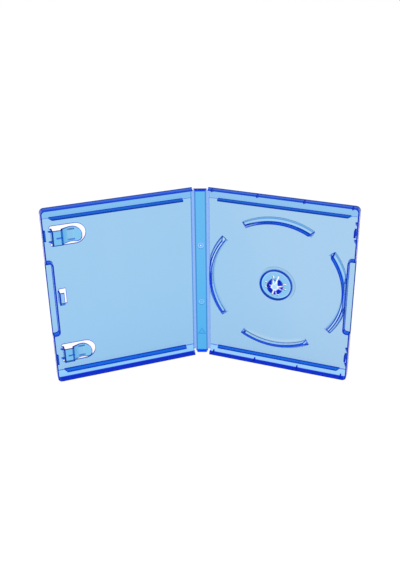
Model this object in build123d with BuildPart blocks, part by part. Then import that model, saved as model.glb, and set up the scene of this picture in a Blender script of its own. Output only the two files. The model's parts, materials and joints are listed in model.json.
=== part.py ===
from build123d import *
import os
from math import cos, radians, sin, sqrt, tan

# A disc case moulded in one shot: front cover, spine and disc tray, joined by two living hinges.
# It stands open like a book, both panels folded forward from the spine by the same angle.
# Panel sizes are read from the hinge line outward, from the base upward and from the outer face inward.

# Overall sizes
case_height = 170.0
panel_width = 135.0
spine_width = 13.6
open_fold = 20.0
corner_radius = 4.0

# Wall sections
panel_floor = 1.1
border_step = 0.35
spine_floor = 2.0
wall = 1.2
cover_rim = 6.8
rim_play = 1.0

# Living hinges
web_half = 0.95
web_thickness = 0.4
web_margin = 3.0
spine_play = 0.2

# Rim wall ends at the hinge
wall_start = 0.5
wall_end_slant = 1.5

# Thumb notch in both rims
notch_length = 70.6
notch_depth = 5.6
notch_radius = 2.4
notch_lip_radius = 0.8

# Long ribs beside the top and bottom walls
rib_edge = 9.3
rib_start = 10.0
rib_setback = 7.0
rib_thickness = 1.3
rib_ramp = 2.4
rib_heel = 0.5
rib_round = 0.9

# Booklet clips on the cover
clip_inset = 26.5
clip_width = 13.9
clip_foot = 1.0
clip_toe = 1.4
clip_bridge = 8.3
clip_tongue = 17.0
clip_tongue_width = 13.9
clip_height = 7.2
clip_sheet = 1.2
clip_tongue_level = 0.5
clip_slope = 6.5
clip_slope_rise = 3.2
clip_tip_lift = 4.6
clip_tip_run = 7.0
clip_tip_radius = 6.0
clip_tongue_bend = 2.5
clip_bend = 0.5
window_gap = 2.4
window_lead = 4.0
window_setback = 7.0
window_corner = 1.5
gusset_spread = 4.8
gusset_reach = 2.2
gusset_height = 3.0
gusset_thickness = 0.9
bead_lead = 5.8
bead_length = 6.2
bead_width = 0.9
bead_height = 0.8
bridge_bead_length = 5.0
bridge_bead_height = 0.5

# Middle hook on the cover
hook_width = 11.7
hook_setback = 8.8
hook_reach = 4.6
hook_window_gap = 1.55
hook_window_lead = 2.4

# Snap fasteners near the free edge
snap_inset = 23.4
catch_length = 9.6
catch_reach = 1.5
catch_height = 3.2
snap_length = 6.3
snap_setback = 3.4
snap_thickness = 1.3
snap_play = 0.4
barb_reach = 0.5
barb_height = 1.4
nub_spread = 8.0
nub_reach = 2.2
nub_thickness = 1.8

# Gussets along the tray's top and bottom walls
tick_first = 5.2
tick_last = 5.9
tick_count = 4
tick_reach = 2.2
tick_tip = 0.9
tick_thickness = 0.9

# Disc seat on the tray
disc_radius = 60.0
disc_play = 0.2
disc_hole_radius = 7.5
guard_height = 4.4
guard_crest = 2.2
guard_cove = 2.2
guard_cove_rise = 1.0
guard_foot = 5.2
guard_skin = 0.7
guard_hip = 2.8
guard_half_angles = (38.5, 30.0, 38.5, 30.0)
guard_hinge_gap = 0.6
link_offset = 15.0
link_length = 3.4
link_gap = 1.2
link_rise = 2.3

# Coves at the foot of guards and hub, as a share of their reach left filled at the middle
cove_fill = 0.35

# Disc hub
boss_radius = 15.0
boss_cove = 2.4
boss_cove_rise = 0.7
boss_wall = 1.0
boss_height = 2.2
hub_skin = 1.1
crown_play = 0.1
crown_height = 5.1
crown_wall = 1.7
button_radius = 2.9
finger_pairs = 4
slit_width = 1.2
slit_reach = 10.3
slit_end_radius = 0.9
slit_half_angle = 15.0

# Spine details
spine_bevel = 0.9
spine_wall_depth = 4.2
spine_wall_taper = 0.35
gate_offset = 29.1
gate_radius = 3.2
gate_depth = 0.3
gate_nub_radius = 0.8
mark_height = 23.0
mark_radius = 4.2
mark_line = 0.7
mark_depth = 0.2

# Sides of the case, and values worked out from the sizes above
COVER = -1
TRAY = 1
fold_cos = cos(radians(open_fold))
fold_sin = sin(radians(open_fold))
hinge_x = spine_width / 2
tray_rim = spine_width - cover_rim - rim_play
hinge_y = (panel_width * fold_sin + max(cover_rim, tray_rim) * fold_cos) / 2
middle = case_height / 2
border_floor = panel_floor + border_step
notch_wall = panel_width - notch_depth
rib_end = panel_width - rib_setback
window_outer = panel_width - window_setback
clip_root = window_outer + clip_foot
clip_riser = window_outer - clip_toe
clip_step = clip_riser - clip_bridge
clip_tip = clip_step - clip_tongue
window_inner = clip_tip - window_lead
bead_start = clip_tip + bead_lead
hook_riser = panel_width - hook_setback
hook_tip = hook_riser - hook_reach
hook_window_inner = hook_tip - hook_window_lead
clip_heights = (clip_inset, case_height - clip_inset)
snap_heights = (snap_inset, case_height - snap_inset)
snap_face = panel_width - snap_setback
snap_top = spine_width - cover_rim - snap_play
tick_pitch = (panel_width - tick_first - tick_last) / (tick_count - 1)
spine_inset = wall + spine_play
spine_half = spine_width / 2 - web_half
spine_top_half = spine_half - spine_bevel
spine_length = case_height - 2 * spine_inset
hinge_edge = web_half + border_floor - web_thickness
seat_u = (hinge_edge + notch_wall - wall) / 2
guard_spacing = 360 / len(guard_half_angles)
guard_inner = disc_radius + disc_play
guard_outer = guard_inner + guard_foot
guard_top = panel_floor + guard_height
guard_limit = notch_wall - wall - link_gap
guard_slope = (guard_foot - guard_crest) / guard_height
guard_slope_skin = guard_skin * sqrt(1 + guard_slope**2)
crown_radius = disc_hole_radius - crown_play
boss_top = panel_floor + boss_height
crown_top = panel_floor + crown_height
slit_end = slit_reach - slit_end_radius


def panel_directions(side):
    """Outward and inward directions of a panel: from hinge to free edge, and from outer face to inside."""
    outward = Vector(side * fold_cos, -fold_sin, 0)
    inward = Vector(-side * fold_sin, -fold_cos, 0)
    return outward, inward


def panel_point(side, out, height, depth):
    """A place on a panel, given as distances out from the hinge, up and inward."""
    outward, inward = panel_directions(side)
    return Vector(side * hinge_x, hinge_y, height) + outward * out + inward * depth


def panel_level(side, depth):
    """Plane along a panel's floor: local x runs out from the hinge, local y runs up."""
    outward, inward = panel_directions(side)
    return Plane(origin=panel_point(side, 0, 0, depth), x_dir=outward, z_dir=inward * side)


def panel_section(side, height):
    """Plane across a panel: local x runs out from the hinge, local y runs inward."""
    outward, inward = panel_directions(side)
    return Plane(origin=panel_point(side, 0, height, 0), x_dir=outward, z_dir=(0, 0, -side))


def seat_axis():
    """The disc's axis, from the tray's outer face inward."""
    outward, inward = panel_directions(TRAY)
    return Axis(panel_point(TRAY, seat_u, middle, 0), inward)


def seat_section(angle):
    """Plane through the disc's axis: local x runs out from the axis, local y runs inward."""
    outward, inward = panel_directions(TRAY)
    radial = outward.rotate(Axis((0, 0, 0), inward), angle)
    return Plane(origin=seat_axis().position, x_dir=radial, z_dir=radial.cross(inward))


def guard_end(angle, turn_way):
    """Plane across a ridge's end: local x runs along the ridge, turning that way, and local y runs inward."""
    inward = panel_directions(TRAY)[1]
    radial = seat_section(angle).x_dir
    start = seat_axis().position + radial * (guard_inner - guard_cove)
    return Plane(origin=start, x_dir=inward.cross(radial) * turn_way, z_dir=radial * turn_way)


def slope_ends(angle, half_angle):
    """Cuts both ends of a ridge, or of its hollow, to a slope."""
    for turn_way in (1, -1):
        with BuildSketch(guard_end(angle - turn_way * half_angle, turn_way)) as slope:
            with BuildLine():
                Polyline((0, panel_floor), (guard_hip, guard_top), (0, guard_top), close=True)
            make_face()
        extrude(slope.sketch, amount=turn_way * (guard_cove + guard_foot), mode=Mode.SUBTRACT)


def cove_arc(corner, run, rise):
    """A hollow curve in a corner, from a run along the floor to a rise up the upright face."""
    across, level = corner
    middle_point = (across + run * cove_fill, level + rise * cove_fill)
    return ThreePointArc((across + run, level), middle_point, (across, level + rise))


def add_bar(side, height, points, thickness, mode=Mode.ADD):
    """A bar of a given thickness along the height, from its outline across the panel."""
    with BuildSketch(panel_section(side, height)) as outline:
        with BuildLine():
            Polyline(*points, close=True)
        make_face()
    extrude(outline.sketch, amount=thickness / 2, both=True, mode=mode)


def add_floor(side):
    """The panel's floor, thicker along its top and bottom borders and bevelled towards the hinge."""
    with BuildSketch(panel_level(side, 0)) as plate:
        with Locations((web_half, 0)):
            Rectangle(panel_width - web_half, case_height, align=(Align.MIN, Align.MIN))
        fillet(plate.vertices().group_by(Axis.X)[-1], radius=corner_radius)
    extrude(plate.sketch, amount=side * panel_floor)
    with BuildSketch(panel_level(side, 0)) as borders:
        for height in (wall / 2, case_height - rib_edge):
            with Locations((web_half, height)):
                Rectangle(
                    panel_width - web_half - wall / 2,
                    rib_edge - wall / 2,
                    align=(Align.MIN, Align.MIN),
                )
        fillet(borders.vertices().group_by(Axis.X)[-1].sort_by(Axis.Y)[0], radius=corner_radius)
        fillet(borders.vertices().group_by(Axis.X)[-1].sort_by(Axis.Y)[-1], radius=corner_radius)
    extrude(borders.sketch, amount=side * border_floor)
    bevel = ((web_half, web_thickness), (hinge_edge, border_floor), (web_half, border_floor))
    add_bar(side, middle, bevel, case_height, mode=Mode.SUBTRACT)


def add_rim(side, rim):
    """The wall around three sides of the panel, set back at the thumb notch and open at the hinge."""
    notch_low = middle - notch_length / 2
    notch_high = middle + notch_length / 2
    corners = (
        (wall_start, 0),
        (panel_width, 0),
        (panel_width, notch_low),
        (notch_wall, notch_low),
        (notch_wall, notch_high),
        (panel_width, notch_high),
        (panel_width, case_height),
        (wall_start, case_height),
    )
    turns = (corner_radius, notch_lip_radius, notch_radius, notch_radius, notch_lip_radius, corner_radius)
    with BuildSketch(panel_level(side, 0)) as ring:
        with BuildLine():
            FilletPolyline(*corners, radius=turns)
            Line(corners[-1], corners[0])
        make_face()
        offset(amount=-wall, mode=Mode.SUBTRACT)
        with Locations((wall_start, wall)):
            Rectangle(2 * wall, case_height - 2 * wall, align=(Align.MIN, Align.MIN), mode=Mode.SUBTRACT)
    extrude(ring.sketch, amount=side * rim)
    slant = ((wall_start, 0), (wall_start + wall_end_slant, rim), (wall_start, rim))
    add_bar(side, middle, slant, case_height, mode=Mode.SUBTRACT)


def add_ribs(side, rim):
    """Two long ribs, level with the rim, with a ramp at the free edge."""
    for height in (rib_edge, case_height - rib_edge):
        with BuildSketch(panel_section(side, height)) as rib:
            with BuildLine():
                FilletPolyline(
                    (rib_start, panel_floor / 2),
                    (rib_start + rib_heel, rim),
                    (rib_end - rib_ramp, rim),
                    (rib_end, panel_floor / 2),
                    radius=rib_round,
                )
                Line((rib_end, panel_floor / 2), (rib_start, panel_floor / 2))
            make_face()
        extrude(rib.sketch, amount=rib_thickness / 2, both=True)


def make_clip(height):
    """A booklet clip: it climbs from the floor, bridges, slopes down and ends in a lifted tongue."""
    top = clip_height
    tongue = clip_tongue_level
    half = clip_sheet / 2
    bends = 3 * [clip_bend]
    soft_bends = 2 * [clip_tongue_bend]
    with BuildPart() as clip:
        with BuildSketch(panel_section(COVER, height)):
            with BuildLine():
                FilletPolyline(
                    (clip_root, 0),
                    (clip_riser - half, 0),
                    (clip_riser - half, top - clip_sheet),
                    (clip_step + half, top - clip_sheet),
                    (clip_step + half, tongue + clip_slope_rise),
                    (clip_step - clip_slope, tongue),
                    (clip_tip + clip_tip_run, tongue),
                    (clip_tip, tongue + clip_tip_lift),
                    (clip_tip, tongue + clip_tip_lift + clip_sheet),
                    (clip_tip + clip_tip_run, tongue + clip_sheet),
                    (clip_step - clip_slope, tongue + clip_sheet),
                    (clip_step - half, tongue + clip_slope_rise + clip_sheet),
                    (clip_step - half, top),
                    (clip_riser + half, top),
                    (clip_riser + half, panel_floor),
                    (clip_root, panel_floor),
                    radius=(0, *bends, *soft_bends, 0, 0, *soft_bends, clip_bend, *bends),
                )
                Line((clip_root, panel_floor), (clip_root, 0))
            make_face()
        extrude(amount=clip_width / 2, both=True)
        side_line = (
            (clip_root, clip_width / 2),
            (clip_step, clip_width / 2),
            (clip_step - clip_slope, clip_tongue_width / 2),
            (clip_tip, clip_tongue_width / 2),
        )
        with BuildSketch(panel_level(COVER, 0)) as plan:
            with BuildLine():
                Polyline(
                    *[(out, height + across) for out, across in side_line],
                    *[(out, height - across) for out, across in reversed(side_line)],
                    close=True,
                )
            make_face()
            fillet(plan.vertices().group_by(Axis.X)[0], radius=clip_tip_radius)
        extrude(amount=COVER * 2 * top, mode=Mode.INTERSECT)
        tongue_top = tongue + clip_sheet
        for spread in (-gusset_spread, gusset_spread):
            bead = (
                (bead_start, tongue_top - bead_height),
                (bead_start + bead_length, tongue_top - bead_height),
                (bead_start + bead_length, tongue_top + bead_height),
                (bead_start, tongue_top + bead_height),
            )
            add_bar(COVER, height + spread, bead, bead_width)
            gusset = (
                (clip_riser, panel_floor / 2),
                (clip_riser + half + gusset_reach, panel_floor / 2),
                (clip_riser + half + gusset_reach, panel_floor),
                (clip_riser, panel_floor + gusset_height),
            )
            add_bar(COVER, height + spread, gusset, gusset_thickness)
        bridge_bead = (
            (clip_step, top - bridge_bead_height),
            (clip_step + bridge_bead_length, top - bridge_bead_height),
            (clip_step + bridge_bead_length, top + bridge_bead_height),
            (clip_step, top + bridge_bead_height),
        )
        add_bar(COVER, height, bridge_bead, bead_width)
    return clip.part


clips = [make_clip(height) for height in clip_heights]

with BuildPart() as front_cover:
    add_floor(COVER)
    add_rim(COVER, cover_rim)
    add_ribs(COVER, cover_rim)
    # Booklet clips over their round-ended windows
    window_radius = clip_width / 2 + window_gap
    for clip_centre in clip_heights:
        with BuildSketch(panel_level(COVER, 0)) as window:
            with Locations((window_inner + window_radius, clip_centre)):
                Circle(window_radius)
                Rectangle(
                    window_outer - window_inner - window_radius,
                    2 * window_radius,
                    align=(Align.MIN, Align.CENTER),
                )
            fillet(window.vertices().group_by(Axis.X)[-1], radius=window_corner)
        extrude(amount=COVER * panel_floor, mode=Mode.SUBTRACT)
    add(clips)
    # Middle hook beside the notch
    with BuildSketch(panel_level(COVER, 0)):
        with Locations((hook_window_inner, middle)):
            Rectangle(
                hook_riser - clip_sheet - hook_window_inner,
                hook_width + 2 * hook_window_gap,
                align=(Align.MIN, Align.CENTER),
            )
    extrude(amount=COVER * panel_floor, mode=Mode.SUBTRACT)
    hook_outline = (
        (hook_riser, 0),
        (hook_riser - clip_sheet, 0),
        (hook_riser - clip_sheet, clip_height - clip_sheet),
        (hook_tip, clip_height - clip_sheet),
        (hook_tip, clip_height),
        (hook_riser, clip_height),
    )
    add_bar(COVER, middle, hook_outline, hook_width)
    # Snap catches inside the free wall, at the rim
    for snap_height in snap_heights:
        catch = (
            (panel_width - wall / 2, cover_rim - catch_height),
            (panel_width - wall, cover_rim - catch_height),
            (panel_width - wall - catch_reach, cover_rim - catch_height + catch_reach / 2),
            (panel_width - wall - catch_reach, cover_rim),
            (panel_width - wall / 2, cover_rim),
        )
        add_bar(COVER, snap_height, catch, catch_length)

with BuildPart() as guards:
    # Ridges around the disc: upright towards the disc, sloping down to the floor behind
    for turn, half_angle in enumerate(guard_half_angles):
        with BuildSketch(seat_section(guard_spacing * turn - half_angle)):
            with BuildLine():
                cove_arc((guard_inner, panel_floor), -guard_cove, guard_cove_rise)
                Polyline(
                    (guard_inner, panel_floor + guard_cove_rise),
                    (guard_inner, guard_top),
                    (guard_inner + guard_crest, guard_top),
                    (guard_outer, panel_floor),
                    (guard_outer, panel_floor / 2),
                    (guard_inner - guard_cove, panel_floor / 2),
                    (guard_inner - guard_cove, panel_floor),
                )
            make_face()
        revolve(axis=seat_axis(), revolution_arc=2 * half_angle)
        slope_ends(guard_spacing * turn, half_angle)
    with BuildSketch(panel_level(TRAY, 0)):
        with Locations((hinge_edge + guard_hinge_gap, 0)):
            Rectangle(
                guard_limit - hinge_edge - guard_hinge_gap,
                case_height,
                align=(Align.MIN, Align.MIN),
            )
    extrude(amount=TRAY * 2 * guard_top, mode=Mode.INTERSECT)

with BuildPart() as guard_hollows:
    # The hollow behind each ridge, open at the outer face, with an even skin left over it
    hollow_wall = guard_inner + guard_skin
    slope_start = guard_inner + guard_crest - guard_slope_skin
    for turn, half_angle in enumerate(guard_half_angles):
        end_angle = half_angle - guard_skin / radians(guard_outer)
        with BuildSketch(seat_section(guard_spacing * turn - end_angle)):
            with BuildLine():
                Polyline(
                    (hollow_wall, 0),
                    (hollow_wall, guard_top - guard_skin),
                    (slope_start + guard_slope * guard_skin, guard_top - guard_skin),
                    (slope_start + guard_slope * guard_top, 0),
                    close=True,
                )
            make_face()
        revolve(axis=seat_axis(), revolution_arc=2 * end_angle)
        slope_ends(guard_spacing * turn, end_angle)
    with BuildSketch(panel_level(TRAY, 0)):
        with Locations((hinge_edge + guard_hinge_gap + guard_skin, 0)):
            Rectangle(
                guard_limit - hinge_edge - guard_hinge_gap - 2 * guard_skin,
                case_height,
                align=(Align.MIN, Align.MIN),
            )
    extrude(amount=TRAY * guard_top, mode=Mode.INTERSECT)

with BuildPart() as disc_tray:
    add_floor(TRAY)
    add_rim(TRAY, tray_rim)
    add_ribs(TRAY, tray_rim)
    # Gussets along the top and bottom walls
    for tick in range(tick_count):
        for wall_face, inner in ((wall, 1), (case_height - wall, -1)):
            tick_foot = panel_point(TRAY, tick_first + tick * tick_pitch, wall_face, 0)
            with BuildSketch(Plane(tick_foot, (0, 0, inner), panel_directions(TRAY)[0])):
                with BuildLine():
                    Polyline(
                        (0, 0),
                        (tick_reach, 0),
                        (tick_tip, inner * tray_rim),
                        (0, inner * tray_rim),
                        close=True,
                    )
                make_face()
            extrude(amount=tick_thickness / 2, both=True)
    # Disc guards, hollow behind, tied to the notch wall by two short bars
    add(guards)
    add(guard_hollows, mode=Mode.SUBTRACT)
    link_start = guard_limit - guard_skin / 2
    link_top = panel_floor + link_rise
    link = (
        (link_start, panel_floor / 2),
        (link_start, link_top),
        (notch_wall - wall / 2, link_top),
        (notch_wall - wall / 2, panel_floor / 2),
    )
    for link_place in (middle - link_offset, middle + link_offset):
        add_bar(TRAY, link_place, link, link_length)
    # Disc hub: a raised boss, and a crown split into sprung fingers around a button
    with BuildSketch(seat_section(0)):
        with BuildLine():
            cove_arc((boss_radius, panel_floor), boss_cove, boss_cove_rise)
            Polyline(
                (boss_radius, panel_floor + boss_cove_rise),
                (boss_radius, boss_top),
                (crown_radius, boss_top),
                (crown_radius, crown_top),
                (0, crown_top),
                (0, 0),
                (boss_radius + boss_cove, 0),
                (boss_radius + boss_cove, panel_floor),
            )
        make_face()
    revolve(axis=seat_axis())
    with BuildSketch(seat_section(0)):
        with BuildLine():
            Polyline(
                (0, 0),
                (boss_radius - boss_wall, 0),
                (boss_radius - boss_wall, boss_top - hub_skin),
                (crown_radius - crown_wall, boss_top - hub_skin),
                (crown_radius - crown_wall, crown_top - hub_skin),
                (0, crown_top - hub_skin),
                close=True,
            )
        make_face()
    revolve(axis=seat_axis(), mode=Mode.SUBTRACT)
    with BuildSketch(panel_level(TRAY, boss_top - hub_skin)):
        for turn in range(finger_pairs):
            for lean in (-slit_half_angle, slit_half_angle):
                slit_angle = 360 / finger_pairs * turn + lean
                with Locations(Location((seat_u, middle, 0), (0, 0, slit_angle))):
                    with Locations((button_radius, 0)):
                        Rectangle(
                            slit_end - button_radius,
                            slit_width,
                            align=(Align.MIN, Align.CENTER),
                        )
                    with Locations((slit_end, 0)):
                        Circle(slit_end_radius)
    extrude(amount=TRAY * (crown_top - boss_top + hub_skin), mode=Mode.SUBTRACT)
    # Snap hooks, each between two wall nubs
    barb_face = snap_face + snap_thickness
    snap = (
        (snap_face, panel_floor / 2),
        (snap_face, snap_top),
        (barb_face, snap_top),
        (barb_face + barb_reach, snap_top - barb_height / 2),
        (barb_face, snap_top - barb_height),
        (barb_face, panel_floor / 2),
    )
    nub = (
        (panel_width - wall / 2, panel_floor / 2),
        (panel_width - wall - nub_reach, panel_floor / 2),
        (panel_width - wall - nub_reach, panel_floor),
        (panel_width - wall, tray_rim),
        (panel_width - wall / 2, tray_rim),
    )
    for snap_height in snap_heights:
        add_bar(TRAY, snap_height, snap, snap_length)
        for spread in (-nub_spread, nub_spread):
            add_bar(TRAY, snap_height + spread, nub, nub_thickness)

# Planes of the spine: along its floor with local y up, and across it with local y inward
spine_level = Plane(origin=(0, hinge_y, 0), x_dir=(1, 0, 0), z_dir=(0, -1, 0))
spine_section = Plane(origin=(0, hinge_y, middle), x_dir=(1, 0, 0), z_dir=(0, 0, -1))

with BuildPart() as spine:
    # Floor, bevelled towards both hinges
    with BuildSketch(spine_section):
        with BuildLine():
            Polyline(
                (-spine_half, 0),
                (-spine_half, web_thickness),
                (-spine_top_half, spine_floor),
                (spine_top_half, spine_floor),
                (spine_half, web_thickness),
                (spine_half, 0),
                close=True,
            )
        make_face()
    extrude(amount=spine_length / 2, both=True)
    # End walls, narrower towards the inside
    for wall_middle in (spine_inset + wall / 2, case_height - spine_inset - wall / 2):
        with BuildSketch(spine_section.offset(middle - wall_middle)):
            with BuildLine():
                Polyline(
                    (-spine_top_half, spine_floor / 2),
                    (-spine_top_half, spine_floor),
                    (-spine_top_half + spine_wall_taper, spine_wall_depth),
                    (spine_top_half - spine_wall_taper, spine_wall_depth),
                    (spine_top_half, spine_floor),
                    (spine_top_half, spine_floor / 2),
                    close=True,
                )
            make_face()
        extrude(amount=wall / 2, both=True)
    # Round gate marks and a plain triangle mark
    with BuildSketch(spine_level.offset(spine_floor)):
        with Locations((0, middle - gate_offset), (0, middle + gate_offset)):
            Circle(gate_radius)
            Circle(gate_nub_radius, mode=Mode.SUBTRACT)
    extrude(amount=-gate_depth, mode=Mode.SUBTRACT)
    with BuildSketch(spine_level.offset(spine_floor)):
        with Locations((0, mark_height)):
            RegularPolygon(mark_radius, side_count=3, rotation=90)
            RegularPolygon(mark_radius - 2 * mark_line, side_count=3, rotation=90, mode=Mode.SUBTRACT)
    extrude(amount=mark_depth)


def add_web(side):
    """A thin strip, bent at the hinge line, from the spine's edge to the panel's edge."""
    inner_corner = hinge_x - web_thickness * tan(radians(open_fold / 2))
    edge_outer = panel_point(side, web_half, 0, 0)
    edge_inner = panel_point(side, web_half, 0, web_thickness)
    with BuildSketch(Plane.XY.offset(web_margin)) as strip:
        with BuildLine():
            Polyline(
                (side * spine_half, hinge_y),
                (side * hinge_x, hinge_y),
                (edge_outer.X, edge_outer.Y),
                (edge_inner.X, edge_inner.Y),
                (side * inner_corner, hinge_y - web_thickness),
                (side * spine_half, hinge_y - web_thickness),
                close=True,
            )
        make_face()
    extrude(strip.sketch, amount=case_height - 2 * web_margin)


with BuildPart() as cover_hinge_web:
    add_web(COVER)

with BuildPart() as tray_hinge_web:
    add_web(TRAY)

os.makedirs("parts", exist_ok=True)
front_cover.part.label = "front_cover"
export_step(front_cover.part, "parts/front_cover.step")
cover_hinge_web.part.label = "cover_hinge_web"
export_step(cover_hinge_web.part, "parts/cover_hinge_web.step")
spine.part.label = "spine"
export_step(spine.part, "parts/spine.step")
tray_hinge_web.part.label = "tray_hinge_web"
export_step(tray_hinge_web.part, "parts/tray_hinge_web.step")
disc_tray.part.label = "disc_tray"
export_step(disc_tray.part, "parts/disc_tray.step")
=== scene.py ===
import json
import math

import bmesh
import bpy
from mathutils import Matrix, Vector


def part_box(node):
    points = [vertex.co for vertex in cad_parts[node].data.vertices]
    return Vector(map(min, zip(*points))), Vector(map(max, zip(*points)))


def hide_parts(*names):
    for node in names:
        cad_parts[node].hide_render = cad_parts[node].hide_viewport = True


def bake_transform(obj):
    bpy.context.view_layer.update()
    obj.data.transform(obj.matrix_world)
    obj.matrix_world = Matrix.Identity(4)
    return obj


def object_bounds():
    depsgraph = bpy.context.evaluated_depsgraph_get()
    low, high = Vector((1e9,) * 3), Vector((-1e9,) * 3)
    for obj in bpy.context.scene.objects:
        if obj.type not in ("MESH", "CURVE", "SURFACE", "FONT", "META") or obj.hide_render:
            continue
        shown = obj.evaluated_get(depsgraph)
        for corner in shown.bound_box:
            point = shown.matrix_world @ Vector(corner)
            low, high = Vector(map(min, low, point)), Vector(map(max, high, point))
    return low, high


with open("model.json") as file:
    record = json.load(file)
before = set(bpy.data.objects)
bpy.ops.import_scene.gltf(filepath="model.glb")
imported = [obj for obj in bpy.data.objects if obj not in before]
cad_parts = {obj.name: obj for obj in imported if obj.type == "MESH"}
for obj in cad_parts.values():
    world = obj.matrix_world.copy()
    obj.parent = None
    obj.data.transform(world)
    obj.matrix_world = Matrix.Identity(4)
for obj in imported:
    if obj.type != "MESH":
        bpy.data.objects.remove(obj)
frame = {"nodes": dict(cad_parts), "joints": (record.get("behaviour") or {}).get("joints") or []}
cad_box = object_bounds()

# Everything is in metres, in the case's own frame: it stands on z 0 and opens towards -Y.
# A pair of numbers is a fade: where a tint starts to show or to go, and where it is full or gone.

mm = 0.001
UP = (0, 0, 1)
ACROSS = (1, 0, 0)
SLANT = math.sqrt(0.5)
COVER = -1
TRAY = 1

# The two living hinges, as the strip that bends between the spine and each panel.
web_half = 0.95 * mm
web_thickness = 0.4 * mm
web_groove = 0.12 * mm
web_steps = 16
open_fold = math.radians(20)
hinge_x = 6.8 * mm
hinge_y = cad_box[1].y

# How softly one tint gives way to the next, and how wide the dark lines painted along the edges are.
hair = 0.1 * mm
soft_edge = 0.2 * mm
wall_fade = 0.3 * mm
middle_fade = 10 * mm
edge_samples = 12
edge_turn = (0.003, 0.04)
panel_edge_width = 0.85 * mm
spine_edge_width = 0.6 * mm
spine_edge_share = 0.6

# Places on the panels: from the case's middle up or down, out from the hinge, and inward.
case_middle = 85 * mm
wall_inside = 83.8 * mm
wall_front = (2.0 * mm, 5.0 * mm)
rib_middle = 75.7 * mm
rib_half = 0.65 * mm
hinge_bevel = (1.9 * mm, 2.3 * mm)
clip_middle = 58.5 * mm
clip_half = 7.0 * mm
clip_root = 128.7 * mm
clip_root_half = 0.6 * mm
clip_tip = 101.3 * mm
clip_tip_fade = 0.5 * mm
clip_underside = (1.15 * mm, 1.3 * mm)
bead_from_tip = 8.9 * mm
bead_half = 3.6 * mm
bead_side = 5.6 * mm
notch_half = 35.3 * mm
notch_corner = 1 * mm
notch_upward = (0.5, 0.8)
free_wall_foot = (127 * mm, 128 * mm)
free_edge = 135 * mm
free_lip = 1 * mm
floor_top = 1.6 * mm
raised_top = 2.2 * mm
gusset_inside = 81.4 * mm
gusset_half = 0.5 * mm
gusset_first = 5.2 * mm
gusset_pitch = 41.3 * mm
gusset_count = 4

# The disc guards: distances from the seat's axis, heights over the panel, and their slanting ends.
seat_reach = 65.1 * mm
guard_inner = 60.2 * mm
guard_ridge = 62.4 * mm
guard_outer = 65.4 * mm
guard_foot = 1.2 * mm
guard_top = 5.1 * mm
guard_hip = 2.8 * mm
guard_end_long = math.radians(38.5)
guard_end_short = math.radians(60)
guard_end_half = 0.45 * mm
guard_shell_half = 2.7 * mm
guard_slope_half = 1.7 * mm
guard_ridge_half = 1.3 * mm
guard_ridge_fade = 0.15 * mm
guard_high = (guard_top - 1.2 * mm, guard_top - 1.0 * mm)
inner_edge_half = 0.6 * mm
outer_edge_radius = guard_ridge + 0.15 * mm
outer_edge_half = 0.55 * mm
foot_radius = guard_outer - 0.4 * mm
foot_half = 0.6 * mm
foot_line_radius = guard_outer + 0.3 * mm
foot_line_half = 0.9 * mm
cove_floor = (0.9 * mm, 1.0 * mm)
cove_ring = (guard_inner - 5 * mm, guard_inner - 0.7 * mm)
cove_line_depth = 2.1 * mm
cove_line_half = 0.4 * mm
cove_line_deep_half = 0.5 * mm

# Where light and shade change on the guards: up from the seat's axis, across it, or aslant.
slope_shade_height = (-5 * mm, 30 * mm)
slope_light_across = (36 * mm, 46 * mm)
slope_light_share = 0.9
ridge_shade_height = (0, 20 * mm)
ridge_light_aslant = (52 * mm, 59 * mm)
ridge_light_height = (-48 * mm, -44 * mm)
ridge_light_side = (45 * mm, 55 * mm)
ridge_light_swell = 8 * mm
foot_shade = (20 * mm, 45 * mm)
foot_shade_lean = 0.5
cove_light_height = (-54 * mm, -50 * mm)
left_end_across = (38 * mm, 42 * mm)
left_end_height = (25 * mm, 30 * mm)
low_end_across = (20 * mm, 25 * mm)
low_end_height = (46 * mm, 50 * mm)

# The disc hub: distances from the seat's axis, and where light and shade change on it.
boss_radius = 15 * mm
boss_hollow = 14 * mm
boss_hollow_half = 0.4 * mm
boss_ring = 13.0 * mm
boss_ring_swell = 1.3 * mm
boss_rim = boss_ring - 0.4 * mm
boss_rim_half = 0.2 * mm
boss_top = 3.3 * mm
halo_radius = 17.4 * mm
halo_half = 0.3 * mm
crown_radius = 7.4 * mm
top_finger_half = 2.6 * mm
top_finger_root = (0, 1 * mm)
finger_tip = 3.7 * mm
finger_fade = 0.6 * mm
button_radius = 2.3 * mm
slit_turn = math.radians(15)
spoke_half = 0.55 * mm
spoke_across = (-4 * mm, -3 * mm)
ring_swell_aslant = (-10 * mm, 15 * mm)
halo_aslant = (-5 * mm, 10 * mm)
ring_thin = (6 * mm, 15 * mm)
ring_thin_lean = 0.6

# Places on the spine, and how much of each gate mark shows on the lower one.
spine_floor_half = 4.95 * mm
spine_band = 4.2 * mm
spine_band_half = 0.35 * mm
spine_wall = 82.2 * mm
gate_offset = 29.1 * mm
gate_ring_radius = 2.3 * mm
gate_ring_half = 0.5 * mm
gate_ring_fade = 0.4 * mm
gate_ring_low_share = 0.4
gate_groove_radius = 1.25 * mm
gate_groove_half = 0.3 * mm
gate_groove_low_share = 0.3
gate_dot_radius = 0.6 * mm
gate_dot_low_share = 0.25
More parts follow.
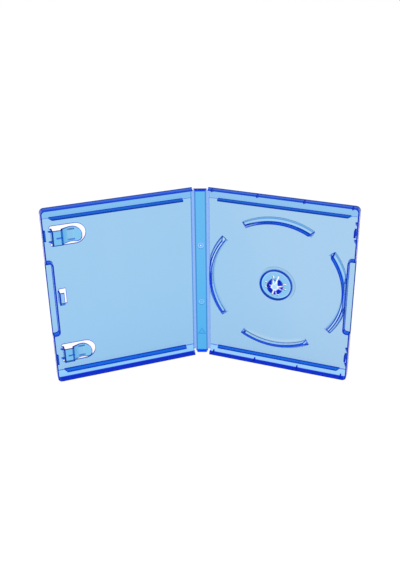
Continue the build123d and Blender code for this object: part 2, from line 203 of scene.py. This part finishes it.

# Tints of the plastic: the clear skin, and deeper ones where walls and ribs gather its colour. Many
# deeper tints are also painted light and shade: lit and shaded copies of walls, borders, guards and
# hub, and dark lines painted along the edges.
pale_skin = (0.93, 0.97, 1.0, 1)
clear_skin = (1.0, 1.0, 1.0, 1)
# The border and wall tints below are lit copies on the top half and shaded copies on the low half:
# painted light and shade.
lit_top_border_skin = (0.88, 0.94, 1.0, 1)
deep_shaded_wall_skin = (0.004, 0.020, 0.45, 1)
lit_top_wall_skin = (0.30, 0.55, 0.85, 1)
shaded_top_wall_front_skin = (0.02, 0.09, 0.68, 1)
# The free wall's tint is a deep, shaded copy, the notch ends' a lit copy, and the notch edge's a dark
# painted line.
deep_shaded_free_wall_skin = (0.004, 0.012, 0.44, 1)
lit_notch_end_skin = (0.03, 0.22, 0.80, 1)
notch_edge_shade_skin = (0.03, 0.05, 0.22, 1)
rib_skin = (0.06, 0.36, 0.80, 1)
# A dark line painted along every edge: painted shade.
edge_shade_line_skin = (0.002, 0.02, 0.40, 1)
clip_skin = (0.60, 0.90, 1.0, 1)
# The beads' lighter edge line and the hinge bevel's band are painted shade.
bead_edge_line_skin = (0.30, 0.55, 0.90, 1)
hinge_bevel_shade_skin = (0.42, 0.66, 0.85, 1)
guard_shell_skin = (0.66, 0.87, 1.0, 1)
# The guard tints from here are painted light and shade: shaded slopes and ridges, and dark painted
# lines at edges and feet.
guard_slope_shade_skin = (0.034, 0.14, 0.70, 1)
guard_ridge_shade_skin = (0.03, 0.20, 0.65, 1)
guard_ridge_deep_shade_skin = (0.001, 0.02, 0.45, 1)
guard_edge_shade_skin = (0.0005, 0.008, 0.25, 1)
guard_base_shade_skin = (0.10, 0.34, 0.74, 1)
guard_base_deep_shade_skin = (0.0004, 0.009, 0.20, 1)
cove_line_shade_skin = (0.45, 0.65, 0.80, 1)
boss_skin = (0.62, 0.87, 1.0, 1)
# The hub tints from here are painted light and shade: a dark ring and crown, a faint line, a lit top
# finger and a shaded centre.
boss_ring_shade_skin = (0.0004, 0.012, 0.35, 1)
boss_ring_thin_shade_skin = (0.02, 0.22, 0.50, 1)
halo_shade_skin = (0.62, 0.70, 0.76, 1)
crown_shade_skin = (0.0005, 0.004, 0.40, 1)
lit_top_finger_skin = (0.45, 0.75, 0.95, 1)
button_shade_skin = (0.80, 0.76, 0.72, 1)
spine_band_skin = (0.50, 0.55, 0.75, 1)
spine_bevel_skin = (0.75, 0.70, 0.90, 1)
gate_groove_skin = (0.62, 0.62, 0.80, 1)
spine_wall_skin = (0.004, 0.10, 0.90, 1)
strip_skin = (0.28, 0.48, 0.90, 1)
strip_pale_skin = (0.34, 0.54, 0.96, 1)

# Painted light: glows laid on the plastic as emission, though it is no lamp. They stand for light that
# the plastic pipes along itself and lets out at those places, and for painted highlights.
no_glow = (0, 0, 0, 1)
deep_wall_painted_glow = (0.001, 0.008, 0.15, 1)
upper_face_painted_glow = (0.010, 0.050, 0.20, 1)
edge_line_painted_glow = (0.003, 0.03, 0.30, 1)
rib_painted_glow = (0.003, 0.025, 0.12, 1)
low_border_painted_glow = (0.045, 0.085, 0.12, 1)
top_border_painted_glow = (0.0, 0.02, 0.03, 1)
ridge_painted_glow = (0.002, 0.02, 0.18, 1)
ridge_highlight_glow = (0.10, 0.14, 0.12, 1)
cove_painted_glow = (0.12, 0.10, 0.04, 1)
cove_line_highlight_glow = (0.06, 0.12, 0.16, 1)
boss_painted_glow = (0.005, 0.015, 0.015, 1)
boss_rim_highlight_glow = (0.05, 0.13, 0.18, 1)
boss_ring_painted_glow = (0.001, 0.022, 0.14, 1)
top_finger_painted_glow = (0.04, 0.10, 0.16, 1)
crown_painted_glow = (0.0, 0.004, 0.20, 1)
finger_highlight_glow = (0.18, 0.16, 0.24, 1)
spoke_highlight_glow = (0.40, 0.36, 0.48, 1)
button_painted_glow = (0.14, 0.16, 0.18, 1)
gate_ring_painted_glow = (0.07, 0.02, 0.04, 1)
gate_dot_highlight_glow = (0.60, 0.65, 0.70, 1)

# The dye in the plastic: what light is left after some depth, and how fast.
cover_dye = {"density": 1000, "colour": (0.083, 0.545, 0.84, 1)}
tray_dye = {"density": 1000, "colour": (0.20, 0.575, 0.84, 1)}
spine_dye = {"density": 1000, "colour": (0.04, 0.645, 0.92, 1)}
strip_dye = {"density": 600, "colour": (0.30, 0.50, 0.90, 1)}

# A gradual deeper tint over the skin: the skin's tint at its far end, how far the tint leans outward,
# and its fade.
cover_skin_gradient = {"far": (0.90, 0.96, 1.0, 1), "lean": 0, "fade": (-80 * mm, 60 * mm)}
tray_skin_gradient = {"far": (0.86, 0.95, 1.0, 1), "lean": 2, "fade": (0, 240 * mm)}
spine_skin_gradient = {"far": (0.70, 0.95, 1.0, 1), "lean": 0, "fade": (-80 * mm, 60 * mm)}

# The plastic's gloss, and the grain of its streaks, ripples and smears.
plastic_ior = 1.49
blue_gloss = (0.10, 0.35, 1.0, 1)
panel_haze = 0.03
strip_haze = 0.2
streaks = {"scale": 35, "detail": 2, "stretch": (1, 1, 0.25)}
strip_streaks = {"scale": 90, "detail": 2, "stretch": (4, 4, 0.3)}
ripples = {"scale": 140, "detail": 1}
ripple_strength = 0.04
ripple_depth = 0.4 * mm
smears = {"scale": 35, "detail": 2}
smear_haze = 0.02

# The camera, at the photograph's angle.
photo_height = 570
focal_pixels = 834.71
camera_place = Vector((0.01273, -0.65844, 0.43911))
camera_yaw = math.radians(-1.169)
camera_pitch = math.radians(28.156)
camera_roll = math.radians(-0.835)
sensor_size = 36

# The white table and the soft light round it.
white = (1, 1, 1, 1)
table_reach = 4.0
table_gap = 0.3 * mm
table_grey = (0.19, 0.19, 0.19, 1)
table_pale_grey = (0.21, 0.21, 0.21, 1)
table_clouds = {"scale": 2, "detail": 2}
table_roughness = 0.9
table_glow = 0.93
sky_low = 1.0
sky_high = 0.25
sky_fade = (0.12, 0.32)
softbox_size = 1.6
softbox_place = Vector((-0.5, -0.4, 1.7))
softbox_power = 14
light_bounces = 32


class Reading:
    """A number that varies over the plastic. Sums on it are written as plain expressions."""

    def __init__(self, recipe, socket):
        self.recipe = recipe
        self.socket = socket

    def maths(self, operation, first, second):
        node = self.recipe.add("ShaderNodeMath", {"operation": operation}, {0: first, 1: second})
        return Reading(self.recipe, node.outputs[0])

    def __add__(self, other):
        return self.maths("ADD", self, other)

    def __radd__(self, other):
        return self.maths("ADD", other, self)

    def __sub__(self, other):
        return self.maths("SUBTRACT", self, other)

    def __rsub__(self, other):
        return self.maths("SUBTRACT", other, self)

    def __mul__(self, other):
        return self.maths("MULTIPLY", self, other)

    def __rmul__(self, other):
        return self.maths("MULTIPLY", other, self)

    def __abs__(self):
        return self.maths("ABSOLUTE", self, 0)


class Recipe:
    """The nodes of one material, or of the room's light."""

    def __init__(self, owner):
        self.owner = owner
        owner.use_nodes = True
        self.tree = owner.node_tree
        self.tree.nodes.clear()

    def add(self, kind, settings, inputs):
        node = self.tree.nodes.new(kind)
        for name, setting in settings.items():
            setattr(node, name, setting)
        for name, value in inputs.items():
            if isinstance(value, Reading):
                self.tree.links.new(value.socket, node.inputs[name])
            elif isinstance(value, bpy.types.NodeSocket):
                self.tree.links.new(value, node.inputs[name])
            else:
                node.inputs[name].default_value = value
        return node

    def place(self, kind="Object"):
        return self.add("ShaderNodeTexCoord", {}, {}).outputs[kind]

    def noise(self, place, scale, detail, stretch=(1, 1, 1)):
        mapped = self.add("ShaderNodeMapping", {}, {"Vector": place, "Scale": stretch})
        inputs = {"Vector": mapped.outputs["Vector"], "Scale": scale, "Detail": detail}
        node = self.add("ShaderNodeTexNoise", {}, inputs)
        return Reading(self, node.outputs["Fac"])

    def along(self, vector, direction):
        node = self.add("ShaderNodeVectorMath", {"operation": "DOT_PRODUCT"}, {0: vector, 1: direction})
        return Reading(self, node.outputs["Value"])

    def distance(self, across, up):
        corner = self.add("ShaderNodeCombineXYZ", {}, {"X": across, "Y": up})
        node = self.add("ShaderNodeVectorMath", {"operation": "LENGTH"}, {0: corner.outputs["Vector"]})
        return Reading(self, node.outputs["Value"])

    def rise(self, reading, low, high):
        """0 below low, 1 above high, and a smooth step between."""
        inputs = {"Value": reading, "From Min": low, "From Max": high}
        node = self.add("ShaderNodeMapRange", {"interpolation_type": "SMOOTHSTEP"}, inputs)
        return Reading(self, node.outputs["Result"])

    def fall(self, reading, low, high):
        """1 below low, 0 above high, and a smooth step between."""
        return 1 - self.rise(reading, low, high)

    def near(self, reading, middle, half, soft=soft_edge):
        """1 within half of the middle, fading to 0 over a soft edge."""
        return self.fall(abs(reading - middle), half, half + soft)

    def tint(self, share, first, second):
        inputs = {"Factor": share, 6: first, 7: second}
        node = self.add("ShaderNodeMix", {"data_type": "RGBA"}, inputs)
        return node.outputs[2]

    def layer(self, skin, layers):
        """Lays deeper tints over the skin, each with its own mask and painted glow."""
        glow = no_glow
        for mask, deeper, light in layers:
            skin = self.tint(mask, skin, deeper)
            glow = self.tint(mask, glow, light)
        return skin, glow


class PanelPlace:
    """Where a point lies on a panel."""

    def __init__(self, recipe, side):
        self.object = recipe.place()
        inward = (-side * math.sin(open_fold), -math.cos(open_fold), 0)
        outward = (side * math.cos(open_fold), -math.sin(open_fold), 0)
        from_hinge = {0: self.object, 1: (side * hinge_x, hinge_y, 0)}
        offset = recipe.add("ShaderNodeVectorMath", {"operation": "SUBTRACT"}, from_hinge)
        self.depth = recipe.along(offset.outputs["Vector"], inward)
        self.reach = recipe.along(offset.outputs["Vector"], outward)
        self.height = recipe.along(self.object, UP) - case_middle
        self.from_middle = abs(self.height)
        self.raised = recipe.rise(self.depth, floor_top, raised_top)
        self.walled = recipe.rise(self.depth, guard_foot, guard_foot + soft_edge)
        self.top_half = recipe.rise(self.height, -middle_fade, middle_fade)


def painted_edge_shade(recipe, width):
    """1 along the moulding's edges and 0 on the flats: the mask for the dark lines painted there, which
    stand for the shade that rounded edges of clear plastic throw.
    """
    rounded = recipe.add("ShaderNodeBevel", {"samples": edge_samples}, {"Radius": width})
    surface = recipe.add("ShaderNodeNewGeometry", {}, {})
    straight = recipe.along(surface.outputs["Normal"], rounded.outputs["Normal"])
    return recipe.rise(1 - straight, *edge_turn)


def flow_skin(recipe, place, reach, height, gradient):
    """The clear skin with the faint streaks that the melt left, deeper towards the top, and on the tray
    also towards its free edge.
    """
    flow = recipe.noise(place, **streaks)
    share = recipe.rise(reach * gradient["lean"] + height, *gradient["fade"])
    return recipe.tint(share, gradient["far"], recipe.tint(flow, pale_skin, clear_skin))


def moulded(recipe, place, skin, glow, haze, dye):
    """See-through moulded plastic: the dye darkens with depth, the skin is faintly uneven, and a
    painted glow is laid on as emission.
    """
    ripple = recipe.noise(place, **ripples)
    smear = recipe.noise(place, **smears)
    uneven = {"Strength": ripple_strength, "Distance": ripple_depth, "Height": ripple}
    bump = recipe.add("ShaderNodeBump", {}, uneven)
    shader = recipe.add(
        "ShaderNodeBsdfPrincipled",
        {},
        {
            "Base Color": skin,
            "Roughness": haze + smear * smear_haze,
            "IOR": plastic_ior,
            "Transmission Weight": 1.0,
            "Specular Tint": blue_gloss,
            # The emission is painted light: a glow laid on the plastic, which is no lamp.
            "Emission Color": glow,
            "Emission Strength": 1.0,
            "Normal": bump.outputs["Normal"],
        },
    )
    inputs = {"Color": dye["colour"], "Density": dye["density"]}
    volume = recipe.add("ShaderNodeVolumeAbsorption", {}, inputs)
    links = {"Surface": shader.outputs["BSDF"], "Volume": volume.outputs["Volume"]}
    recipe.add("ShaderNodeOutputMaterial", {}, links)
    return recipe.owner


def shared_layers(recipe, at):
    """Borders, ribs and walls, which both panels have, with light and shade painted on them."""
    border = (1 - at.raised) * recipe.rise(at.from_middle, rib_middle, rib_middle + rib_half)
    ribs = at.raised * recipe.near(at.from_middle, rib_middle, rib_half)
    end_walls = recipe.rise(at.from_middle, wall_inside - wall_fade, wall_inside)
    front_half = recipe.rise(at.depth, *wall_front)
    notch = recipe.fall(at.from_middle, notch_half + notch_corner, notch_half + 2 * notch_corner)
    standing = at.raised + (at.walled - at.raised) * notch
    free_wall = standing * recipe.rise(at.reach, *free_wall_foot)
    upward = recipe.rise(recipe.along(recipe.place("Normal"), UP), *notch_upward)
    notch_edge_shade = notch * recipe.rise(at.reach, free_edge - free_lip, free_edge - free_lip + soft_edge)
    return [
        # Painted light on the borders: a glow lifts the low border out of shade, and the top border is
        # a lit copy.
        (border, clear_skin, low_border_painted_glow),
        (border * at.top_half, lit_top_border_skin, top_border_painted_glow),
        # The ribs' deeper tint of thick plastic, with a painted glow.
        (ribs, rib_skin, rib_painted_glow),
        # The free wall as a deep, shaded copy; the upward faces of the notch ends as a lit copy; and a
        # dark line painted along the notch's rounded edge for its shade.
        (free_wall, deep_shaded_free_wall_skin, deep_wall_painted_glow),
        (free_wall * notch * upward, lit_notch_end_skin, upper_face_painted_glow),
        (notch_edge_shade, notch_edge_shade_skin, no_glow),
        # The end walls' deep tint of thick plastic, laid as a shaded copy low down and a lit copy on
        # top, whose front half is shaded again, each with a painted glow.
        (end_walls, deep_shaded_wall_skin, deep_wall_painted_glow),
        (end_walls * at.top_half, lit_top_wall_skin, upper_face_painted_glow),
        (end_walls * at.top_half * front_half, shaded_top_wall_front_skin, upper_face_painted_glow),
    ]


def clip_layers(recipe, at, edge_shade):
    """The cover's booklet clips, and a band of painted shade on its bevel along the hinge."""
    across = recipe.near(at.from_middle, clip_middle, clip_half)
    along = recipe.rise(at.reach, clip_tip - clip_tip_fade, clip_tip)
    above = recipe.rise(at.depth, *clip_underside)
    hinge_shade = recipe.fall(at.reach, *hinge_bevel)
    bead_along = recipe.near(at.reach, clip_tip + bead_from_tip, bead_half)
    beads = across * bead_along * recipe.near(at.from_middle, clip_middle, bead_side)
    root = recipe.near(at.reach, clip_root, clip_root_half)
    return [
        (across * along * above, clip_skin, no_glow),
        # A band of painted shade on the hinge bevel, then dark painted lines along the edges and across
        # the clip's root, lighter on the beads.
        (hinge_shade, hinge_bevel_shade_skin, no_glow),
        (edge_shade, edge_shade_line_skin, edge_line_painted_glow),
        (beads * edge_shade * above, bead_edge_line_skin, no_glow),
        (across * above * root, edge_shade_line_skin, edge_line_painted_glow),
    ]


def guard_ends(recipe, at, across, radius):
    """1 along the slanting edge at each guard's end."""
    aside = abs(across)
    upright = abs(at.height)
    from_short = upright * math.cos(guard_end_short) - aside * math.sin(guard_end_short)
    from_long = aside * math.sin(guard_end_long) - upright * math.cos(guard_end_long)
    guard_width = guard_outer - guard_inner
    slant = guard_hip * (1 - (radius - guard_inner) * (1 / guard_width))
    short_ends = recipe.near(from_short, slant, guard_end_half)
    long_ends = recipe.near(from_long, slant, guard_end_half)
    ring = recipe.near(radius, guard_inner + guard_width / 2, guard_width / 2)
    return at.walled * (ring * (short_ends + long_ends))


def guard_layers(recipe, at, edge_shade, across, radius):
    """The tray's four disc guards: shells, slopes, ridges and the lines along their edges, with light
    and shade painted on by place round the seat.
    """
    shells = at.walled * recipe.near(radius, (guard_inner + guard_outer) / 2, guard_shell_half)
    slope_place = recipe.near(radius, (guard_ridge + guard_outer) / 2, guard_slope_half)
    slope_shade = recipe.fall(at.height, *slope_shade_height)
    slope_light = recipe.rise(across, *slope_light_across)
    shaded_slopes = at.walled * slope_place * slope_shade * (1 - slope_light * slope_light_share)

    ridge_place = recipe.near(radius, (guard_inner + guard_ridge) / 2, guard_ridge_half)
    ridges = ridge_place * recipe.rise(at.depth, guard_top - guard_ridge_fade, guard_top)
    aslant = abs(at.height - across) * SLANT
    sideways = recipe.rise(abs(across), *ridge_light_side) * ridge_light_swell
    lit_aslant = recipe.rise(aslant + sideways, *ridge_light_aslant)
    lit = lit_aslant * recipe.rise(at.height, *ridge_light_height)
    deep = recipe.fall(at.height, *ridge_shade_height)

    inner_edge = recipe.near(radius, guard_inner, inner_edge_half, hair)
    outer_edge = recipe.near(radius, outer_edge_radius, outer_edge_half, hair)
    high = recipe.rise(at.depth, *guard_high)
    feet = at.walled * recipe.near(radius, foot_radius, foot_half)
    foot_lines = edge_shade * recipe.near(radius, foot_line_radius, foot_line_half)
    shaded = recipe.fall(across * foot_shade_lean + at.height, *foot_shade)

    above_floor = recipe.rise(at.depth, *cove_floor)
    beside_guard = recipe.rise(radius, *cove_ring)
    inside_guard = recipe.fall(radius, guard_inner - soft_edge, guard_inner)
    low_cove = beside_guard * inside_guard * recipe.fall(at.height, *cove_light_height)
    cove_deep = recipe.near(at.depth, cove_line_depth, cove_line_deep_half)
    cove_lines = recipe.near(radius, guard_inner, cove_line_half) * cove_deep

    open_left = recipe.rise(0 - across, *left_end_across) * recipe.rise(at.height, *left_end_height)
    open_low = recipe.rise(across, *low_end_across) * recipe.rise(0 - at.height, *low_end_height)
    ends = guard_ends(recipe, at, across, radius) * (1 - open_left - open_low)
    return [
        # Painted light and shade on the guards, by place round the seat: a glow in the low cove, shaded
        # slopes and ridges, lit ridges with a painted highlight, dark painted lines at edges, feet and
        # ends, and a cove line with a highlight.
        (above_floor * low_cove, clear_skin, cove_painted_glow),
        (shells, guard_shell_skin, no_glow),
        (shaded_slopes, guard_slope_shade_skin, ridge_painted_glow),
        (ridges * (1 - lit), guard_ridge_shade_skin, ridge_painted_glow),
        (ridges * (1 - lit) * deep, guard_ridge_deep_shade_skin, ridge_painted_glow),
        (edge_shade, edge_shade_line_skin, edge_line_painted_glow),
        (ridges * lit, clear_skin, ridge_highlight_glow),
        ((1 - lit) * high * outer_edge, guard_ridge_shade_skin, ridge_painted_glow),
        (lit * high * (inner_edge + outer_edge), guard_edge_shade_skin, ridge_painted_glow),
        (feet, guard_base_shade_skin, no_glow),
        (foot_lines, guard_base_shade_skin, no_glow),
        (feet * shaded, guard_base_deep_shade_skin, boss_ring_painted_glow),
        (foot_lines * shaded, guard_base_deep_shade_skin, boss_ring_painted_glow),
        (cove_lines, cove_line_shade_skin, cove_line_highlight_glow),
        (ends, guard_edge_shade_skin, ridge_painted_glow),
    ]


def hub_spokes(recipe, at, across):
    """1 along the slits between the crown's fingers."""
    aside = abs(across)
    upright = abs(at.height)
    beside_flat = aside * math.sin(slit_turn) - upright * math.cos(slit_turn)
    beside_steep = aside * math.cos(slit_turn) - upright * math.sin(slit_turn)
    return recipe.near(beside_flat, 0, spoke_half) + recipe.near(beside_steep, 0, spoke_half)


def hub_layers(recipe, at, across, radius):
    """The disc hub: its boss, the ring round it, and the split crown, with light and shade painted on
    them.
    """
    boss = at.raised * recipe.fall(radius, boss_ring - soft_edge, boss_ring)
    swell = recipe.rise(across + at.height, *ring_swell_aslant) * boss_ring_swell
    outside_ring = recipe.rise(radius - swell, boss_ring - hair, boss_ring + hair)
    inside_ring = recipe.fall(radius, boss_radius + hair, boss_radius + hair + soft_edge)
    ring = at.raised * outside_ring * inside_ring
    hollow = (1 - at.raised) * recipe.near(radius, boss_hollow, boss_hollow_half)
    halo = (1 - at.raised) * recipe.near(radius, halo_radius, halo_half)
    facing = recipe.rise(across + at.height, *halo_aslant)
    thin = recipe.rise(across * ring_thin_lean + at.height, *ring_thin)
    rim = boss * recipe.near(radius, boss_rim, boss_rim_half) * (1 - facing)

    above_boss = recipe.rise(at.depth, boss_top + hair, boss_top + hair + soft_edge)
    crown = above_boss * recipe.fall(radius, crown_radius + hair, crown_radius + hair + soft_edge)
    top_finger_side = recipe.near(across, 0, top_finger_half)
    top_finger = crown * top_finger_side * recipe.rise(at.height, *top_finger_root)
    fingers = crown * recipe.fall(radius, finger_tip - finger_fade, finger_tip)
    button = crown * recipe.fall(radius, button_radius, button_radius + soft_edge)
    spokes = crown * hub_spokes(recipe, at, across) * recipe.rise(across, *spoke_across)
    return [
        # Painted light and shade on the hub: glows on the boss, a highlight on its rim, a dark ring on
        # the boss and its hollow, thinner and lighter on one side, a faint line on the facing side, a
        # dark crown with a lit top finger, highlights on the fingers and slits, and a shaded centre.
        (boss, boss_skin, boss_painted_glow),
        (rim, boss_skin, boss_rim_highlight_glow),
        (hollow, boss_ring_shade_skin, boss_ring_painted_glow),
        (halo * facing, halo_shade_skin, no_glow),
        (ring, boss_ring_shade_skin, boss_ring_painted_glow),
        (ring * thin, boss_ring_thin_shade_skin, boss_ring_painted_glow),
        (crown, crown_shade_skin, crown_painted_glow),
        (top_finger, lit_top_finger_skin, top_finger_painted_glow),
        (fingers, clear_skin, finger_highlight_glow),
        (spokes, clear_skin, spoke_highlight_glow),
        (button, button_shade_skin, button_painted_glow),
    ]


def seat_layers(recipe, at, edge_shade):
    """The tray's guards, disc hub and wall gussets."""
    across = at.reach - seat_reach
    radius = recipe.distance(across, at.height)
    layers = guard_layers(recipe, at, edge_shade, across, radius) + hub_layers(recipe, at, across, radius)
    beside_wall = recipe.rise(at.from_middle, gusset_inside, gusset_inside + soft_edge)
    for index in range(gusset_count):
        gusset = beside_wall * recipe.near(at.reach, gusset_first + index * gusset_pitch, gusset_half)
        # Each gusset gets the deep, shaded wall tint and its painted glow.
        layers.append((gusset, deep_shaded_wall_skin, deep_wall_painted_glow))
    return layers


def make_panel_plastic(name, side, own_layers, dye, gradient):
    recipe = Recipe(bpy.data.materials.new(name))
    at = PanelPlace(recipe, side)
    edge_shade = painted_edge_shade(recipe, panel_edge_width)
    layers = shared_layers(recipe, at) + own_layers(recipe, at, edge_shade)
    skin, glow = recipe.layer(flow_skin(recipe, at.object, at.reach, at.height, gradient), layers)
    return moulded(recipe, at.object, skin, glow, panel_haze, dye)


def gate_layers(recipe, across, height):
    """The two round gate marks on the spine, the lower one fainter, with a painted glow on the ring and
    a painted highlight on the dot.
    """
    gate = recipe.distance(across, abs(height) - gate_offset)
    upper = recipe.rise(height, -middle_fade, middle_fade)
    ring = recipe.near(gate, gate_ring_radius, gate_ring_half, gate_ring_fade)
    groove = recipe.near(gate, gate_groove_radius, gate_groove_half)
    dot = recipe.near(gate, 0, gate_dot_radius)
    ring_share = gate_ring_low_share + upper * (1 - gate_ring_low_share)
    groove_share = gate_groove_low_share + upper * (1 - gate_groove_low_share)
    dot_share = gate_dot_low_share + upper * (1 - gate_dot_low_share)
    return [
        (ring * ring_share, clear_skin, gate_ring_painted_glow),
        (groove * groove_share, gate_groove_skin, no_glow),
        (dot * dot_share, clear_skin, gate_dot_highlight_glow),
    ]


def make_spine_plastic(name, dye, gradient):
    recipe = Recipe(bpy.data.materials.new(name))
    place = recipe.place()
    across = abs(recipe.along(place, ACROSS))
    height = recipe.along(place, UP) - case_middle
    bands = recipe.near(across, (spine_band + spine_floor_half) / 2, spine_band_half)
    bevels = recipe.rise(across, spine_floor_half + hair, spine_floor_half + hair + soft_edge)
    end_walls = recipe.rise(abs(height), spine_wall, spine_wall + soft_edge)
    edge_shade = painted_edge_shade(recipe, spine_edge_width) * spine_edge_share
    layers = [
        (bands, spine_band_skin, no_glow),
        (bevels, spine_bevel_skin, no_glow),
        *gate_layers(recipe, across, height),
        # The end walls' deep tint with a painted glow, and dark lines painted along the edges.
        (end_walls, spine_wall_skin, deep_wall_painted_glow),
        (edge_shade, edge_shade_line_skin, edge_line_painted_glow),
    ]
    skin, glow = recipe.layer(flow_skin(recipe, place, across, height, gradient), layers)
    return moulded(recipe, place, skin, glow, panel_haze, dye)


def make_strip_plastic(name, dye):
    recipe = Recipe(bpy.data.materials.new(name))
    place = recipe.place()
    skin = recipe.tint(recipe.noise(place, **strip_streaks), strip_skin, strip_pale_skin)
    return moulded(recipe, place, skin, no_glow, strip_haze, dye)


def make_table_white():
    recipe = Recipe(bpy.data.materials.new("table_white"))
    cloud = recipe.noise(recipe.place(), **table_clouds)
    inputs = {
        "Base Color": recipe.tint(cloud, table_grey, table_pale_grey),
        "Roughness": table_roughness,
        "Specular IOR Level": 0.0,
        "Emission Color": white,
        "Emission Strength": table_glow,
    }
    shader = recipe.add("ShaderNodeBsdfPrincipled", {}, inputs)
    recipe.add("ShaderNodeOutputMaterial", {}, {"Surface": shader.outputs["BSDF"]})
    return recipe.owner


def web_section(side, hinge):
    """Points across the strip at rest, outside then inside, from the spine to the panel."""
    panel_turn = Vector((side * math.cos(open_fold), -math.sin(open_fold)))
    spine_edge = Vector((side * (abs(hinge.x) - web_half), hinge.y))
    bend = Vector((hinge.x, hinge.y))
    panel_edge = bend + panel_turn * web_half
    outside = []
    inside = []
    for step in range(web_steps + 1):
        share = step / web_steps
        point = spine_edge * (1 - share) ** 2 + bend * 2 * share * (1 - share) + panel_edge * share ** 2
        turn = share * open_fold
        inward = Vector((-side * math.sin(turn), -math.cos(turn)))
        thickness = web_thickness - web_groove * math.sin(math.pi * share) ** 2
        outside.append(point)
        inside.append(point + inward * thickness)
    return outside, inside, spine_edge, panel_edge


def make_hinge_web(name, node, body, side, plastic):
    """The bending strip between the spine and one panel, in place of its plain solid."""
    low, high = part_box(node)
    joint = next(entry for entry in frame["joints"] if entry["child"] == body)
    outside, inside, spine_edge, panel_edge = web_section(side, Vector(joint["pos_m"]))
    ring = outside + inside[::-1]
    mesh = bpy.data.meshes.new(name)
    shape = bmesh.new()
    ends = []
    for height in (low.z, high.z):
        ends.append([shape.verts.new((point.x, point.y, height)) for point in ring])
    count = len(ring)
    for index in range(count):
        following = (index + 1) % count
        shape.faces.new((ends[0][index], ends[0][following], ends[1][following], ends[1][index]))
    shape.faces.new(ends[0])
    shape.faces.new(ends[1])
    bmesh.ops.recalc_face_normals(shape, faces=shape.faces)
    shape.to_mesh(mesh)
    shape.free()
    web = bpy.data.objects.new(name, mesh)
    bpy.context.scene.collection.objects.link(web)
    mesh.materials.append(plastic)
    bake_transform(web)
    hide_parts(node)


def set_plastic(node, plastic):
    for slot in frame["nodes"][node].material_slots:
        slot.material = plastic


def make_table():
    mesh = bpy.data.meshes.new("table")
    corners = [(-1, -1), (1, -1), (1, 1), (-1, 1)]
    points = [(x * table_reach, y * table_reach, -table_gap) for x, y in corners]
    mesh.from_pydata(points, [], [(0, 1, 2, 3)])
    table = bpy.data.objects.new("table", mesh)
    bpy.context.scene.collection.objects.link(table)
    mesh.materials.append(make_table_white())


def make_light():
    room = Recipe(bpy.data.worlds.new("soft_white_room"))
    rise = room.rise(room.along(room.place("Generated"), UP), *sky_fade)
    strength = sky_low + rise * (sky_high - sky_low)
    sky = room.add("ShaderNodeBackground", {}, {"Color": white, "Strength": strength})
    room.add("ShaderNodeOutputWorld", {}, {"Surface": sky.outputs["Background"]})
    bpy.context.scene.world = room.owner
    softbox = bpy.data.lights.new("softbox", "AREA")
    softbox.shape = "SQUARE"
    softbox.size = softbox_size
    softbox.energy = softbox_power
    lamp = bpy.data.objects.new("softbox", softbox)
    lamp.location = softbox_place
    towards_case = Vector((0, 0, case_middle)) - softbox_place
    lamp.rotation_euler = towards_case.to_track_quat("-Z", "Y").to_euler()
    bpy.context.scene.collection.objects.link(lamp)


def make_camera():
    level = math.cos(camera_pitch)
    forward = Vector(
        (math.sin(camera_yaw) * level, math.cos(camera_yaw) * level, -math.sin(camera_pitch))
    )
    across = Vector((math.cos(camera_yaw), -math.sin(camera_yaw), 0))
    upward = across.cross(forward)
    right = across * math.cos(camera_roll) + upward * math.sin(camera_roll)
    top = upward * math.cos(camera_roll) - across * math.sin(camera_roll)
    lens = bpy.data.cameras.new("camera")
    lens.sensor_width = sensor_size
    lens.lens = focal_pixels / photo_height * sensor_size
    camera = bpy.data.objects.new("camera", lens)
    turn = Matrix((right, top, -forward)).transposed().to_4x4()
    camera.matrix_world = Matrix.Translation(camera_place) @ turn
    bpy.context.scene.collection.objects.link(camera)
    bpy.context.scene.camera = camera


cover_plastic = make_panel_plastic("clear_blue_cover", COVER, clip_layers, cover_dye, cover_skin_gradient)
tray_plastic = make_panel_plastic("clear_blue_tray", TRAY, seat_layers, tray_dye, tray_skin_gradient)
spine_plastic = make_spine_plastic("clear_blue_spine", spine_dye, spine_skin_gradient)
strip_plastic = make_strip_plastic("stretched_hinge_plastic", strip_dye)

set_plastic("front_cover", cover_plastic)
set_plastic("disc_tray", tray_plastic)
set_plastic("spine", spine_plastic)
make_hinge_web("cover_hinge_strip", "cover_hinge_web", "cover", COVER, strip_plastic)
make_hinge_web("tray_hinge_strip", "tray_hinge_web", "tray", TRAY, strip_plastic)

make_table()
make_light()
make_camera()
bpy.context.scene.view_settings.view_transform = "Standard"
bpy.context.scene.cycles.max_bounces = light_bounces
bpy.context.scene.cycles.transmission_bounces = light_bounces
